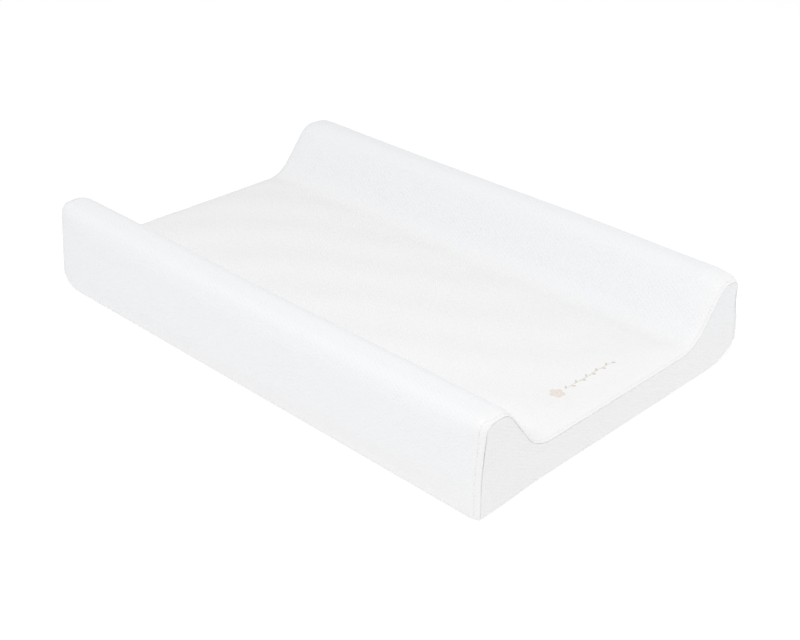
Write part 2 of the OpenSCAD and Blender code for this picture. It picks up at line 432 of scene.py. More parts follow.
def whole_outline(inset):
    """The main panel's whole outline: seam allowance, base roll, wall, bolster, floor and back."""
    wall_start = np.array([wall_x(BASE_RADIUS, inset), BASE_RADIUS])
    seam_x = wall_start[0] + BASE_RADIUS + BASE_LIP
    turn = np.linspace(math.pi / 2, 0, FOLD_POINTS - 1)
    fold = side_by_side(seam_x + ROLL_RADIUS * np.sin(turn), ROLL_RADIUS * (1 - np.cos(turn)))
    tuck = np.array([[seam_x + ROLL_RADIUS, ALLOWANCE]])
    bend = np.linspace(math.pi / 2, 0, BASE_ARC)
    out_of_wall, above_base = BASE_RADIUS * (1 - np.cos(bend)), BASE_RADIUS * (1 - np.sin(bend))
    roll = side_by_side(wall_start[0] + out_of_wall, above_base)
    upper = upper_left(inset)
    wall = line(roll[-1], upper[0], WALL_STEPS)
    return mirrored(np.concatenate([tuck, fold, roll, wall, upper]))


def base_retreat(z):
    """How far the rounded lower edge of an end lies behind the end at height z."""
    below = np.clip(BASE_RADIUS - z, 0, BASE_RADIUS)
    return BASE_RADIUS - np.sqrt(BASE_RADIUS ** 2 - below ** 2)


def spread(make):
    """An outline at no inset, and how far each of its points moves for a unit of inset."""
    base = make(0)
    return base, (make(MM) - base) / MM


def shoulder_inset(outline):
    """How much deeper the seam lies at each point of an outline."""
    x, z = outline.T
    away = np.hypot(np.abs(x) - (HALF_W - WALL_LEAN), z - TOP)
    return SHOULDER_INSET * np.exp(-((away / (16 * MM)) ** 2))


# Rows of the main panel near an end: round the roll, up to the stitches, at them, and beyond
ROLL_ANGLES = np.linspace(0, math.pi, 9)
BEFORE_STITCH = (0.25, 0.5, 0.75)
AT_STITCH = (-0.5 * MM, -0.22 * MM, 0, 0.22 * MM, 0.5 * MM)
BEYOND_STITCH = (0.08, 0.18, 0.32, 0.5, 0.74, 1)
STITCH_ROW = 1 + len(ROLL_ANGLES) + len(BEFORE_STITCH) + AT_STITCH.index(0)


def end_profile(outline):
    """Rows near an end, as distances from the end and insets of the outline's points, and the
    stitch line's distance."""
    stitch = WALL_STITCH + (TOP_STITCH - WALL_STITCH) * smoothstep(
        HALF_W - 6 * MM, HALF_W - 22 * MM, np.abs(outline[:, 0])
    )
    deeper = shoulder_inset(outline)
    level = np.ones(len(outline))
    centre = SEAM_INSET - SEAM_GAP / 2 - ROLL_RADIUS
    rows = [(ALLOWANCE * level, centre + ROLL_RADIUS + deeper)]
    for angle in ROLL_ANGLES:
        away = ROLL_RADIUS * (1 - math.sin(angle))
        rows.append((away * level, centre + ROLL_RADIUS * math.cos(angle) + deeper))
    near = stitch + AT_STITCH[0]
    far = stitch + AT_STITCH[-1]
    distances = [ROLL_RADIUS + (near - ROLL_RADIUS) * share for share in BEFORE_STITCH]
    distances += [stitch + offset for offset in AT_STITCH]
    distances += [far + (END_REACH - far) * share for share in BEYOND_STITCH]
    welt_at = (ROLL_RADIUS + stitch) / 2
    welt_size = (stitch - ROLL_RADIUS) / 4
    for away in distances:
        share = np.clip(1 - (away - ROLL_RADIUS) / (ROLL_REACH - ROLL_RADIUS), 0, 1)
        dip = 0.2 * MM * np.exp(-(((away - stitch) / (0.5 * MM)) ** 2))
        welt = 0.24 * welt_size * np.exp(-(((away - welt_at) / (welt_size * 1.4)) ** 2))
        rows.append((away, (centre - ROLL_RADIUS + deeper) * share ** 2 + dip - welt))
    return rows, stitch


# --- Meshes ---

def new_piece(name, points, faces):
    mesh = bpy.data.meshes.new(name)
    mesh.from_pydata([tuple(p) for p in points], [], faces)
    mesh.update()
    return linked(name, mesh)


def grid_faces(rows, columns, start=0):
    return [
        (a + c, a + c + 1, a + columns + c + 1, a + columns + c)
        for a in range(start, start + (rows - 1) * columns, columns)
        for c in range(columns - 1)
    ]


def tube_faces(rings, sides, start=0):
    """Quads between rings of points, and a face over each end."""
    faces = [
        (a + s, a + (s + 1) % sides, a + sides + (s + 1) % sides, a + sides + s)
        for a in range(start, start + (rings - 1) * sides, sides)
        for s in range(sides)
    ]
    last = start + (rings - 1) * sides
    ends = [range(start + sides - 1, start - 1, -1), range(last, last + sides)]
    return faces + [tuple(end) for end in ends]


def border_of(grid):
    """The outermost entries of a grid, once round."""
    return np.concatenate([grid[0, :], grid[1:, -1], grid[-1, -2::-1], grid[-2:0:-1, 0]])


def smooth(piece, angle):
    for face in piece.data.polygons:
        face.use_smooth = True
    if angle is not None:
        piece.data.set_sharp_from_angle(angle=math.radians(angle))


def apply_modifiers(piece):
    graph = bpy.context.evaluated_depsgraph_get()
    final = bpy.data.meshes.new_from_object(piece.evaluated_get(graph))
    piece.modifiers.clear()
    old, piece.data = piece.data, final
    bpy.data.meshes.remove(old)


def thicken(piece):
    """Gives a sheet the leatherette's thickness, on its inner side but not below the floor."""
    middle = Vector((0, 0, 0.03))
    if sum(f.normal.dot(f.center - middle) * f.area for f in piece.data.polygons) < 0:
        piece.data.flip_normals()
    assign(piece.modifiers.new("thickness", "SOLIDIFY"), thickness=SHEET, offset=-1)
    apply_modifiers(piece)
    points = positions(piece)
    points[:, 2] = np.maximum(points[:, 2], 0)
    set_positions(piece, points)
    smooth(piece, 60)


def mark(piece, cut, painted_blue_light):
    """Stores what the leatherette needs: the flat cut's coordinates with the distance from the
    stitch line, and how much painted bluish light the white takes."""
    layers = (("cut", "FLOAT_VECTOR", "vector", cut), ("painted_blue_light", "FLOAT", "value", painted_blue_light))
    for name, kind, field, values in layers:
        layer = piece.data.attributes.new(name, kind, "POINT")
        layer.data.foreach_set(field, np.ascontiguousarray(values, float).ravel())


def painted_blue_light_share(points, on_end=False):
    """Where a bluish light is painted into the white: on the bolsters but not on the floor or low
    on the left wall, and on an end panel only over its right side."""
    x, y, z = points.T
    wander = np.array([jitter(p, 14 * MM, 9) for p in points]) * 5 * MM
    limit = np.where(x < -0.215, 0.036 * (0.35 - y) / 0.7, 0.053)
    painted_blue_light = smoothstep(-5 * MM, 6 * MM, z + wander - limit)
    if on_end:
        return painted_blue_light * smoothstep(0.15, 0.18, x)
    reach = (12 + 18 * smoothstep(0.05, 0.09, z)) * MM
    return painted_blue_light * smoothstep(4 * MM, reach, y + HALF_L)


def positions(piece):
    flat = np.empty(len(piece.data.vertices) * 3)
    piece.data.vertices.foreach_get("co", flat)
    return flat.reshape(-1, 3)


def set_positions(piece, points):
    piece.data.vertices.foreach_set("co", points.ravel())
    piece.data.update()


def finish_piece(piece, paint, stands_for=None, body="pad"):
    piece.data.materials.clear()
    piece.data.materials.append(paint)
    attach(piece, body)
    if stands_for:
        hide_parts(stands_for)
    return piece


@contextlib.contextmanager
def reworked(piece):
    """The piece's mesh as a bmesh, written back at the end of the with block."""
    work = bmesh.new()
    work.from_mesh(piece.data)
    yield work
    work.to_mesh(piece.data)
    work.free()


def solid_piece(name, points, faces, angle, paint, stands_for=None):
    """A finished piece from closed shells; edges sharper than angle, if given, stay sharp."""
    piece = new_piece(name, points, faces)
    with reworked(piece) as work:
        bmesh.ops.recalc_face_normals(work, faces=work.faces)
    smooth(piece, angle)
    return finish_piece(piece, paint, stands_for)


# --- How the cover lies: swelling by simulation, then sags, leans and turned-up corners ---

def smoothstep(low, high, value):
    share = np.clip((value - low) / (high - low), 0, 1)
    return share * share * (3 - 2 * share)


def settle(points):
    """Moves points from the even shape to how this pad lies."""
    out = np.array(points, float)
    x, y, z = out.T
    along = y / HALF_L

    # The left ridge is a little lower in the middle than at its ends, and highest at the rear
    ridge = smoothstep(0.06, 0.11, z)
    out[:, 2] -= (3.4 * (1 - along ** 2) - 2.6 * smoothstep(0.1, 0.9, along)) * MM * ridge * (x < 0)

    # The right ridge rises from its ends, where the seams hold it down
    from_end = HALF_L - np.abs(y)
    rise = smoothstep(0, 34 * MM, from_end) * (2.6 + 1.8 * smoothstep(0.5, -0.5, along))
    out[:, 2] += rise * MM * ridge * smoothstep(0.12, 0.19, x)

    # Broad shallow waves run diagonally over the floor
    level = smoothstep(0.07, 0.05, z) * smoothstep(0.02, 0.04, z)
    floor = smoothstep(0.155, 0.1, np.abs(x)) * level
    edge = smoothstep(1.0, 0.9, np.abs(along))
    diagonal = (x + 0.8 * y) * 2 * math.pi
    across = (x - 0.5 * y) * 2 * math.pi
    waves = np.sin(diagonal / 0.115 + 1.3 * np.sin(across / 0.4)) + 0.6 * np.sin(across / 0.21 + 1)
    out[:, 2] += 0.9 * MM * waves * floor * edge

    # The ends lean: both tops stand a little towards the front
    out[:, 1] -= 2.1 * MM * (z / TOP) * along ** 4

    # The right wall leans in a little more near the front end
    near_front = smoothstep(-0.12, -0.35, y)
    out[:, 0] -= 4.5 * MM * smoothstep(0.03, 0.09, z) * smoothstep(0.16, 0.215, x) * near_front

    # and bulges low down beside the seam
    rim = smoothstep(4.4 * MM, 2 * MM, HALF_W - WALL_LEAN * z / TOP - x)
    low_down = smoothstep(0.09, 0.03, z) * smoothstep(0.6 * MM, 2 * MM, y + HALF_L)
    out[:, 0] += 5.5 * MM * rim * low_down * near_front
    fuller = smoothstep(0.08, 0.05, z) * smoothstep(0.16, 0.215, x)
    out[:, 0] += 1.8 * MM * fuller * near_front

    # The near left lower corner stands forward
    corner = smoothstep(-0.12, -0.215, x) * smoothstep(0.05, 0, z) * smoothstep(-0.30, -0.345, y)
    out[:, 1] -= 3.2 * MM * corner

    # The other three lower corners turn up, less and less up the wall
    corner_width, corner_length, corner_lift, lift_ends = 57 * MM, 36 * MM, 29 * MM, 0.085
    for side_x, side_y in ((1, -1), (-1, 1), (1, 1)):
        a = np.clip((HALF_W - side_x * x) / corner_width, 0, 1)
        b = np.clip((HALF_L - side_y * y) / corner_length, 0, 1)
        nearness = np.clip((1 - a) * (1 - b), 0, 0.999)
        lift = corner_lift * (1 - np.sqrt(1 - nearness ** 2))
        out[:, 2] += lift * np.clip(1 - z / lift_ends, 0, 1)
    return out


def search_tree(points):
    tree = KDTree(len(points))
    for index, point in enumerate(points):
        tree.insert(point, index)
    tree.balance()
    return tree


class Swell:
    """How far the cover swells when it is sewn tight over the foam, from a cloth simulation."""

    CAP = 2.4 * MM
    VOXEL = 8 * MM
    FRAMES = 20
    NEIGHBOURS = 6
    # The sleeve is held this near to its sides and ends, to its section's outline and to the floor
    EDGE_REACH = 9 * MM
    OUTLINE_REACH = 8 * MM
    BASE_REACH = 6 * MM

    def __init__(self):
        self.tree = None
        sleeve = self.make_sleeve()
        start = positions(sleeve)
        self.simulate(sleeve, start)
        graph = bpy.context.evaluated_depsgraph_get()
        moved = positions(sleeve.evaluated_get(graph)) - start
        length = np.linalg.norm(moved, axis=1, keepdims=True)
        self.moves = moved * self.CAP * np.tanh(length / self.CAP) / np.maximum(length, 1e-9)
        self.tree = search_tree(start)
        bpy.data.objects.remove(sleeve)

    def make_sleeve(self):
        """A closed, evenly meshed copy of the cover's even shape."""
        corner = wall_x(0, 0)
        outline = np.concatenate([[[corner, 0]], mirrored(upper_left(0)), [[-corner, 0]]])
        count = len(outline)
        points = [(x, y, z) for y in (-HALF_L, HALF_L) for x, z in outline]
        faces = [(i, (i + 1) % count, count + (i + 1) % count, count + i) for i in range(count)]
        faces += [tuple(range(count)), tuple(range(2 * count - 1, count - 1, -1))]
        sleeve = new_piece("sleeve", points, faces)
        remesh = sleeve.modifiers.new("remesh", "REMESH")
        assign(remesh, mode="VOXEL", voxel_size=self.VOXEL)
        apply_modifiers(sleeve)
        return sleeve

    def simulate(self, sleeve, start):
        """Pressure inside the sleeve, with its seams and its underside held."""
        outline = search_tree([(x, 0, z) for x, z in mirrored(upper_left(0))])
        held = []
        for index, (x, y, z) in enumerate(start):
            at_end = HALF_L - abs(y) < self.EDGE_REACH
            at_side = HALF_W - abs(x) < self.EDGE_REACH
            at_rim = at_side or outline.find((x, 0, z))[2] < self.OUTLINE_REACH
            if z < self.BASE_REACH or (at_end and at_rim):
                held.append(index)
        pins = sleeve.vertex_groups.new(name="pins")
        pins.add(held, 1.0, "REPLACE")
        cloth = sleeve.modifiers.new("cloth", "CLOTH")
        assign(
            cloth.settings, quality=5, vertex_group_mass="pins", use_pressure=True,
            uniform_pressure_force=4, tension_stiffness=30, compression_stiffness=30,
            bending_stiffness=2,
        )
        cloth.settings.effector_weights.gravity = 0
        cloth.collision_settings.use_collision = False
        for number in range(self.FRAMES):
            bpy.context.scene.frame_set(number + 1)

    def apply(self, points):
        """Adds the swelling to points of the even shape."""
        if self.tree is None:
            return points
        out = np.array(points, float)
        for index, point in enumerate(points):
            total = np.zeros(3)
            weights = 0.0
            for _, near, distance in self.tree.find_n(point, self.NEIGHBOURS):
                weight = 1 / (distance + 1 * MM) ** 2
                total += self.moves[near] * weight
                weights += weight
            out[index] += total / weights
        return out


# --- The cover's panels ---

def jitter(position, size, seed):
    """A smooth random number from -1 to 1 that changes over about size metres."""
    return noise.noise(Vector(position) / size + Vector((seed, 0, 0)))


# Rows of the main panel between its ends, and the ripples beside its seams
ROW_STEP = 4.1 * MM
RIPPLE_HEIGHT = 0.35 * MM
RIPPLE_SIZE = 16 * MM
RIPPLE_REACH = 14 * MM


def main_panel(swell):
    """The one-piece panel over both bolsters, with its rolled and stitched ends."""
    base, outwards = spread(whole_outline)
    profile, stitch = end_profile(base)
    level = np.ones(len(base))
    middle_rows = round(2 * (HALF_L - END_REACH) / ROW_STEP)
    rows = [(away - HALF_L, inset) for away, inset in profile]
    for y in np.linspace(END_REACH - HALF_L, HALF_L - END_REACH, middle_rows)[1:-1]:
        rows.append((y * level, 0 * level))
    rows += [(HALF_L - away, inset) for away, inset in reversed(profile)]

    along = lengths(base)
    retreat = base_retreat(base[:, 1])
    retreat[:FOLD_POINTS] = retreat[-FOLD_POINTS:] = BASE_RADIUS + 1 * MM
    grid, facts = [], []
    for y, inset in rows:
        away = HALF_L - np.abs(y)
        fade = RIPPLE_HEIGHT * np.exp(-((away / RIPPLE_REACH) ** 2))
        ripple = [jitter((s, 0.2 * at, 0), RIPPLE_SIZE, 3) for s, at in zip(along, y)]
        x, z = (base + outwards * (inset - fade * np.array(ripple))[:, None]).T
        back = retreat * smoothstep(END_REACH, 2 * MM, away)
        grid.append(side_by_side(x, y - np.sign(y) * back, z))
        facts.append(side_by_side(along, y, away - stitch))
    even = np.concatenate(grid)
    flat = settle(swell.apply(even))
    piece = new_piece("cover_main", flat, grid_faces(len(rows), len(base)))
    mark(piece, np.concatenate(facts), painted_blue_light_share(even))
    thicken(piece)
    return piece, flat.reshape(len(rows), len(base), 3), float(along[-1])


def rolled_sheet(name, inner, outer, place, swell, on_base=False):
    """A sheet whose border rolls in at a seam. inner and outer are flat grids that end before the
    roll and at the seam, and place turns plane points and depths into space. The first row rolls
    more widely where the sheet is on_base."""
    rows, columns = inner.shape[:2]
    border = border_of(np.arange(rows * columns).reshape(rows, columns))
    rim = border_of(outer)
    radius = np.full(len(rim), ROLL_RADIUS)
    share = radius / SIDE_STEP
    if on_base:
        radius[:columns] = BASE_RADIUS
        share[:columns] = BASE_RADIUS / BASE_STEP
    flat = inner.reshape(-1, 2)
    plane = [flat]
    depth = [np.zeros(len(flat))]
    for angle in np.radians(RIM_ANGLES):
        amount = (share * (1 - math.cos(angle)))[:, None]
        plane.append(rim + (flat[border] - rim) * amount)
        depth.append(radius * (1 - math.sin(angle)))
    plane.append(rim)
    depth.append(np.full(len(rim), ALLOWANCE))
    faces = grid_faces(rows, columns)
    ring, size = border, len(border)
    start = len(flat)
    rings = len(RIM_ANGLES) + 1
    for _ in range(rings):
        fresh = start + np.arange(size)
        for i in range(size):
            j = (i + 1) % size
            faces.append((int(ring[j]), int(ring[i]), int(fresh[i]), int(fresh[j])))
        ring, start = fresh, start + size
    cut = np.concatenate(plane)
    narrow = np.concatenate([np.zeros(len(flat), bool), np.tile(radius < BASE_RADIUS, rings)])
    points = settle(swell.apply(place(cut, np.concatenate(depth), narrow)))
    piece = new_piece(name, points, faces)
    mark(piece, np.column_stack([cut, np.ones(len(cut))]), painted_blue_light_share(points, True))
    thicken(piece)
    return piece


# Angles of the rings round a sheet's rolled border, in degrees
RIM_ANGLES = (90, 66, 44, 22, 0)
LEAD = 1.6 * MM
SIDE_INSET = SEAM_INSET + SEAM_GAP / 2
SIDE_STEP = ROLL_RADIUS + LEAD
BASE_STEP = BASE_RADIUS + LEAD


def window_share(x):
    """1 over the zip's window and 0 beyond it, with rounded ends."""
    return smoothstep(WINDOW_HALF + 1 * MM, WINDOW_HALF - 2 * MM, np.abs(x))


def top_line(level):
    base, outwards = spread(upper_left)
    inset = SIDE_INSET + level * SIDE_STEP + shoulder_inset(base)
    return mirrored(base + outwards * inset[:, None])


def across(level, height):
    """X of the line across the end at a height, with the same spacing as the top line."""
    top = top_line(level)[:, 0]
    return top * wall_x(height, SIDE_INSET + level * SIDE_STEP) / top[0]


def zip_edge(level, sign):
    """Edge of a rear panel along the zip: it keeps clear of the window and meets its neighbour
    beyond it."""
    x = across(level, ZIP_Z)
    clear = HEM * window_share(x) + level * SIDE_STEP + SEAM_GAP / 2
    return side_by_side(x, ZIP_Z + sign * clear)


def above_zip(level):
    return zip_edge(level, 1)


def below_zip(level):
    return zip_edge(level, -1)


def base_line(level):
    x = across(level, 0)
    return side_by_side(x, np.full(len(x), level * BASE_STEP))


def round_base(x, z):
    """X brought in below the base's radius, as the main panel's edge comes in."""
    limit = np.where(z < BASE_RADIUS, -wall_x(0, SIDE_INSET) - base_retreat(z), np.inf)
    return np.sign(x) * np.minimum(np.abs(x), limit)


def end_panel(name, side, lower, upper, on_base, steps, swell):
    """A panel in an end of the pad. lower and upper give its edges at the rim, for level 0, and
    inside it, for level 1."""
    share = np.linspace(0, 1, steps + 1)
    if on_base:
        share = np.insert(share, 1, [0.12 * share[1], 0.45 * share[1]])
    share = share[:, None, None]
    inner = lower(1) + (upper(1) - lower(1)) * share
    outer = lower(0) + (upper(0) - lower(0)) * share
    if on_base:
        outer[:, :, 0] = round_base(outer[:, :, 0], outer[:, :, 1])

    def place(plane, depth, narrow):
        retreat = base_retreat(plane[:, 1]) * on_base
        depth = np.where(narrow, retreat + depth, np.maximum(retreat, depth))
        return side_by_side(plane[:, 0], side * (HALF_L - depth), plane[:, 1])

    return rolled_sheet(name, inner, outer, place, swell, on_base)


def underside(swell):
    """The flat panel under the pad."""
    inset = BASE_RADIUS + BASE_LIP + ROLL_RADIUS + SEAM_GAP
    half_x, half_y = HALF_W - inset, HALF_L - inset
    columns, rows = 74, 112
    grid = np.meshgrid(np.linspace(-1, 1, columns), np.linspace(-1, 1, rows))
    unit_grid = np.stack(grid, 2)
    inner = unit_grid * (half_x - SIDE_STEP, half_y - SIDE_STEP)
    outer = unit_grid * (half_x, half_y)

    def place(plane, depth, _):
        return side_by_side(plane[:, 0], plane[:, 1], depth)

    return rolled_sheet("cover_underside", inner, outer, place, swell)


# --- Stitches ---

STITCH_PITCH = 4.8 * MM
STITCH_LENGTH = 4.0 * MM
THREAD_RADIUS = 0.25 * MM


def resample(route, normals, pitch):
    """Points a pitch apart along a route, with directions and normals there."""
    total = lengths(route)
    count = int(total[-1] / pitch)
    at = (np.arange(count) + 0.5) * total[-1] / count
    step = 0.5 * MM

    def taken(values, places):
        return side_by_side(*(np.interp(places, total, column) for column in values.T))

    return taken(route, at), taken(route, at + step) - taken(route, at - step), taken(normals, at)


# One stitch's rings: places along it from -1 to 1, with heights in thread radii
STITCH_HALF = [(0.6, 0.6), (0.86, 0.15), (0.97, -1.2), (1, -3)]
STITCH_SHAPE = [(-s, h) for s, h in reversed(STITCH_HALF)] + [(0, 0.75)] + STITCH_HALF
STITCH_SIDES = 7


def stitch_points(length, radius):
    """One stitch round its own middle: along, height and sideways of each point."""
    points = []
    for s, height in STITCH_SHAPE:
        thin = 0.8 if abs(s) > 0.9 else 1.0
        for angle in circle(STITCH_SIDES):
            cos, sin = radius * math.cos(angle), radius * math.sin(angle)
            points.append((s * (length / 2 + 0.3 * cos), radius * height + thin * cos, thin * sin))
    return np.array(points)


def stitch_run(name, routes, node_name, pitch=STITCH_PITCH, length=STITCH_LENGTH):
    """Separate stitches along routes; each comes up out of the cover and goes back into it."""
    template = stitch_points(length, THREAD_RADIUS)
    points, faces = [], []
    for route, normals in routes:
        for centre, along, up in zip(*resample(route, normals, pitch)):
            along = unit(along)
            up = unit(up - along * (up @ along))
            aside = np.cross(along, up)
            lean = 0.05 * aside
            start = len(points) * len(template)
            points.append(
                centre
                + template[:, :1] * unit(along + lean)
                + template[:, 1:2] * up
                + template[:, 2:] * aside
            )
            faces += tube_faces(len(STITCH_SHAPE), STITCH_SIDES, start)
    solid_piece(name, np.concatenate(points), faces, None, THREAD, node_name)


def topstitch(name, surface, row, node_name):
    """The stitch line over the main panel, on the surface's own row of points."""
    route = surface[row]
    first = FOLD_POINTS + BASE_ARC
    route = route[first:-first]
    before = surface[row - 2][first:-first]
    after = surface[row + 2][first:-first]
    tangent = np.gradient(route, axis=0)
    normals = np.cross(tangent, after - before)
    outward = route - (0, 0, 0.02) - route * (0, 1, 0)
    if (normals * outward).sum() < 0:
        normals = -normals
    normals /= np.linalg.norm(normals, axis=1, keepdims=True)
    stitch_run(name, [(route, normals)], node_name)


class Surface:
    """Finds where a line in a given direction meets some pieces."""

    def __init__(self, pieces, direction, reach):
        self.direction = Vector(direction)
        self.reach = reach
        graph = bpy.context.evaluated_depsgraph_get()
        self.trees = [BVHTree.FromObject(p, graph) for p in pieces]

    def find(self, point):
        """The first point met and its normal, or the given point where nothing is met."""
        start = Vector(point) - self.direction * self.reach
        hits = [tree.ray_cast(start, self.direction, 2 * self.reach) for tree in self.trees]
        hits = [hit for hit in hits if hit[0] is not None]
        if not hits:
            return np.array(point), -np.array(self.direction)
        where, normal, _, _ = min(hits, key=lambda hit: hit[3])
        if normal.dot(self.direction) > 0:
            normal.negate()
        return np.array(where), np.array(normal)

    def above(self, point, *rises):
        """Points at the given heights above the point that find gives."""
        where, normal = self.find(point)
        return [where + normal * rise for rise in rises]


def zip_stitching(panels):
    """Stitches round the zip's window, a little outside it."""
    back = Surface(panels, (0, -1, 0), 20 * MM)
    outside = 2.9 * MM
    half_x = WINDOW_HALF + outside
    half_z = HEM + outside
    corners = [(-1, -1), (1, -1), (1, 1), (-1, 1), (-1, -1)]
    routes = []
    for (ax, az), (bx, bz) in zip(corners, corners[1:]):
        low = np.array([ax * half_x, HALF_L, ZIP_Z + az * half_z])
        high = np.array([bx * half_x, HALF_L, ZIP_Z + bz * half_z])
        count = max(8, int(np.linalg.norm(high - low) / (4 * MM)))
        found = [back.find(low + (high - low) * t) for t in np.linspace(0, 1, count)]
        routes.append([np.array(part) for part in zip(*found)])
    stitch_run("stitches_zip", routes, "zipper_stitching", 3.6 * MM, 2.8 * MM)


# --- Copies of CAD parts, cleaned and with softened edges ---

def cad_copy(name, node_name):
    piece = linked(name, frame["nodes"][node_name].data.copy())
    with reworked(piece) as work:
        bmesh.ops.remove_doubles(work, verts=work.verts, dist=0.002 * MM)
        flat = math.radians(0.5)
        bmesh.ops.dissolve_limit(work, angle_limit=flat, verts=work.verts, edges=work.edges)
    return piece


def softened(name, node_name, width, paint, body="pad"):
    """A CAD part with its edges rounded."""
    piece = cad_copy(name, node_name)
    bevel = piece.modifiers.new("bevel", "BEVEL")
    assign(bevel, width=width, segments=3, limit_method="ANGLE", angle_limit=math.radians(32))
    apply_modifiers(piece)
    smooth(piece, 40)
    return finish_piece(piece, paint, node_name, body)


def foam_block(node_name, paint):
    """A foam block, eased where the cover's seams need room and settled like the cover."""
    piece = cad_copy(node_name + "_block", node_name)
    cuts = []
    for side in (-1, 1):
        cuts += [((0, side * (HALF_L - d * MM), 0), (0, 1, 0)) for d in (3, 5, 8, 12, 18, 26, 36)]
        cuts += [((side * (HALF_W - d * MM), 0, 0), (1, 0, 0)) for d in (9, 16, 26, 40, 57)]
    cuts += [((0, y * MM, 0), (0, 1, 0)) for y in range(-300, 301, 50)]
    cuts += [((0, 0, z * MM), (0, 0, 1)) for z in (3, 5, 8, 12, 40, 62, 85)]
    with reworked(piece) as work:
        for point, direction in cuts:
            everything = list(work.verts) + list(work.edges) + list(work.faces)
            bmesh.ops.bisect_plane(work, geom=everything, plane_co=point, plane_no=direction)

    points = positions(piece)
    x, y, z = points.T.copy()
    from_end = HALF_L - np.abs(y)
    ease_end = 7 * MM * smoothstep(12 * MM, 4 * MM, from_end)
    ease_base = 8.5 * MM * smoothstep(12 * MM, 4 * MM, z)
    at_wall = smoothstep(HALF_W - 30 * MM, HALF_W - 8 * MM, np.abs(x))
    points[:, 0] -= np.sign(x) * np.maximum(ease_end, ease_base) * at_wall
    points[:, 2] -= ease_end * smoothstep(39 * MM, 46 * MM, z)
    at_face = smoothstep(3 * MM, 1 * MM, from_end)
    points[:, 1] -= np.sign(y) * (1 * MM + np.minimum(ease_base, 8 * MM)) * at_face
    points[:, 0] -= np.sign(x) * np.where(np.abs(x) < JOINT_X + 1 * MM, 0, 0.6 * MM * at_wall)
    points[:, 2] -= 3.2 * MM * smoothstep(38 * MM, 46 * MM, z)
    set_positions(piece, settle(points))
    smooth(piece, 30)
    finish_piece(piece, paint, node_name)


JOINT_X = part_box("center_foam")[1].x


# --- Zip ---

TOOTH_PITCH = 2.4 * MM


def tape(name, node_name, side):
    """A woven tape: a flat strip with a thicker corded edge beside the chain."""
    low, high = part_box(node_name)
    inner_z, outer_z = (low.z, high.z)[::side]
    thick = (high.y - low.y) / 2
    stations = [
        (0.0, 0.05), (0.0, 0.6), (0.03, 1.0), (0.1, 1.0), (0.16, 0.8), (0.5, 0.78),
        (0.9, 0.78), (0.96, 0.85), (1.0, 0.6), (1.0, 0.05),
    ]
    columns = int((high.x - low.x) / (4 * MM))
    points = []
    for x in np.linspace(low.x, high.x, columns):
        wave = 0.05 * MM * math.sin(x / (7 * MM))
        for face in (1, -1):
            for share, amount in stations[::face]:
                y = ZIP_Y + face * thick * amount + wave * share
                points.append((x, y, inner_z + (outer_z - inner_z) * share))
    faces = tube_faces(columns, 2 * len(stations))
    piece = solid_piece(name, points, faces, 40, TAPE, node_name)


def tooth_shape(reach, root, width, half_thick):
    """One moulded tooth, a body on the tape's edge, a neck and a rounded head: its points as
    rings, and the numbers of rings and of points in a ring."""
    stations = [
        (-reach, 0.5, 0.55), (-reach * 0.92, 0.85, 0.85), (-reach * 0.6, 1.08, 1.0),
        (-reach * 0.25, 1.0, 1.0), (0.1 * MM, 0.82, 0.95), (root * 0.45, 0.95, 1.0),
        (root * 0.92, 1.0, 1.0), (root, 0.8, 0.75),
    ]
    ring = [
        (-1, -0.55), (-0.7, -1), (0.7, -1), (1, -0.55), (1, 0.55), (0.7, 1), (-0.7, 1), (-1, 0.55)
    ]
    return np.array([
        (a * width / 2 * wide, b * half_thick * thick, z)
        for z, wide, thick in stations
        for a, b in ring
    ]), len(stations), len(ring)


def chain(name, node_name, side, shift):
    """A row of moulded teeth on a cord along the tape's edge."""
    low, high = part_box(node_name)
    half_thick = (high.y - low.y) / 2
    width, reach = 1 * MM, 1.2 * MM
    root = (high.z - low.z) - reach
    shape, rings, sides = tooth_shape(reach, root, width, half_thick)
    points, faces = [], []

    def add(block, rings, sides):
        faces.extend(tube_faces(rings, sides, sum(len(p) for p in points)))
        points.append(block)

    for i in range(int((high.x - low.x - shift) / TOOTH_PITCH)):
        centre = low.x + shift + i * TOOTH_PITCH + width / 2
        add(shape * (1, 1, side) + (centre, ZIP_Y, ZIP_Z), rings, sides)
    cord_z = ZIP_Z + side * (root - 0.55 * MM)
    rings, sides = 60, 10
    cord = [
        (x, ZIP_Y + 0.62 * MM * math.cos(angle), cord_z + 0.5 * MM * math.sin(angle))
        for x in np.linspace(low.x, high.x, rings)
        for angle in circle(sides)
    ]
    add(np.array(cord), rings, sides)
    solid_piece(name, np.concatenate(points), faces, 45, NYLON, node_name)


# --- Label and print ---

def drop_outline(length, width):
    """A petal or leaf that points along X from the origin, widest past its middle."""
    turn = circle(20)
    share = (1 - np.cos(turn)) / 2
    return side_by_side(length * share, width / 2 * np.sin(turn) * (0.6 + 0.5 * share))


def disc_outline(radius):
    turn = circle(18)
    return radius * side_by_side(np.cos(turn), np.sin(turn))


def stem_outline(length, width):
    """A line along X with round ends, a little wavy."""
    x = np.linspace(0, length, 24)
    sway = 0.35 * MM * np.sin(x / (7 * MM))
    swell = width / 2 * np.sqrt(np.clip(np.sin(math.pi * np.clip(x / length, 0.01, 0.99)), 0.2, 1))
    upper = side_by_side(x, sway + swell)
    return np.concatenate([side_by_side(x, sway - swell), upper[::-1]])


def turned(points, angle, shift):
    """Points of a plane turned about the origin and then shifted."""
    cos, sin = math.cos(angle), math.sin(angle)
    x, y = points.T
    return side_by_side(x * cos - y * sin, x * sin + y * cos) + shift


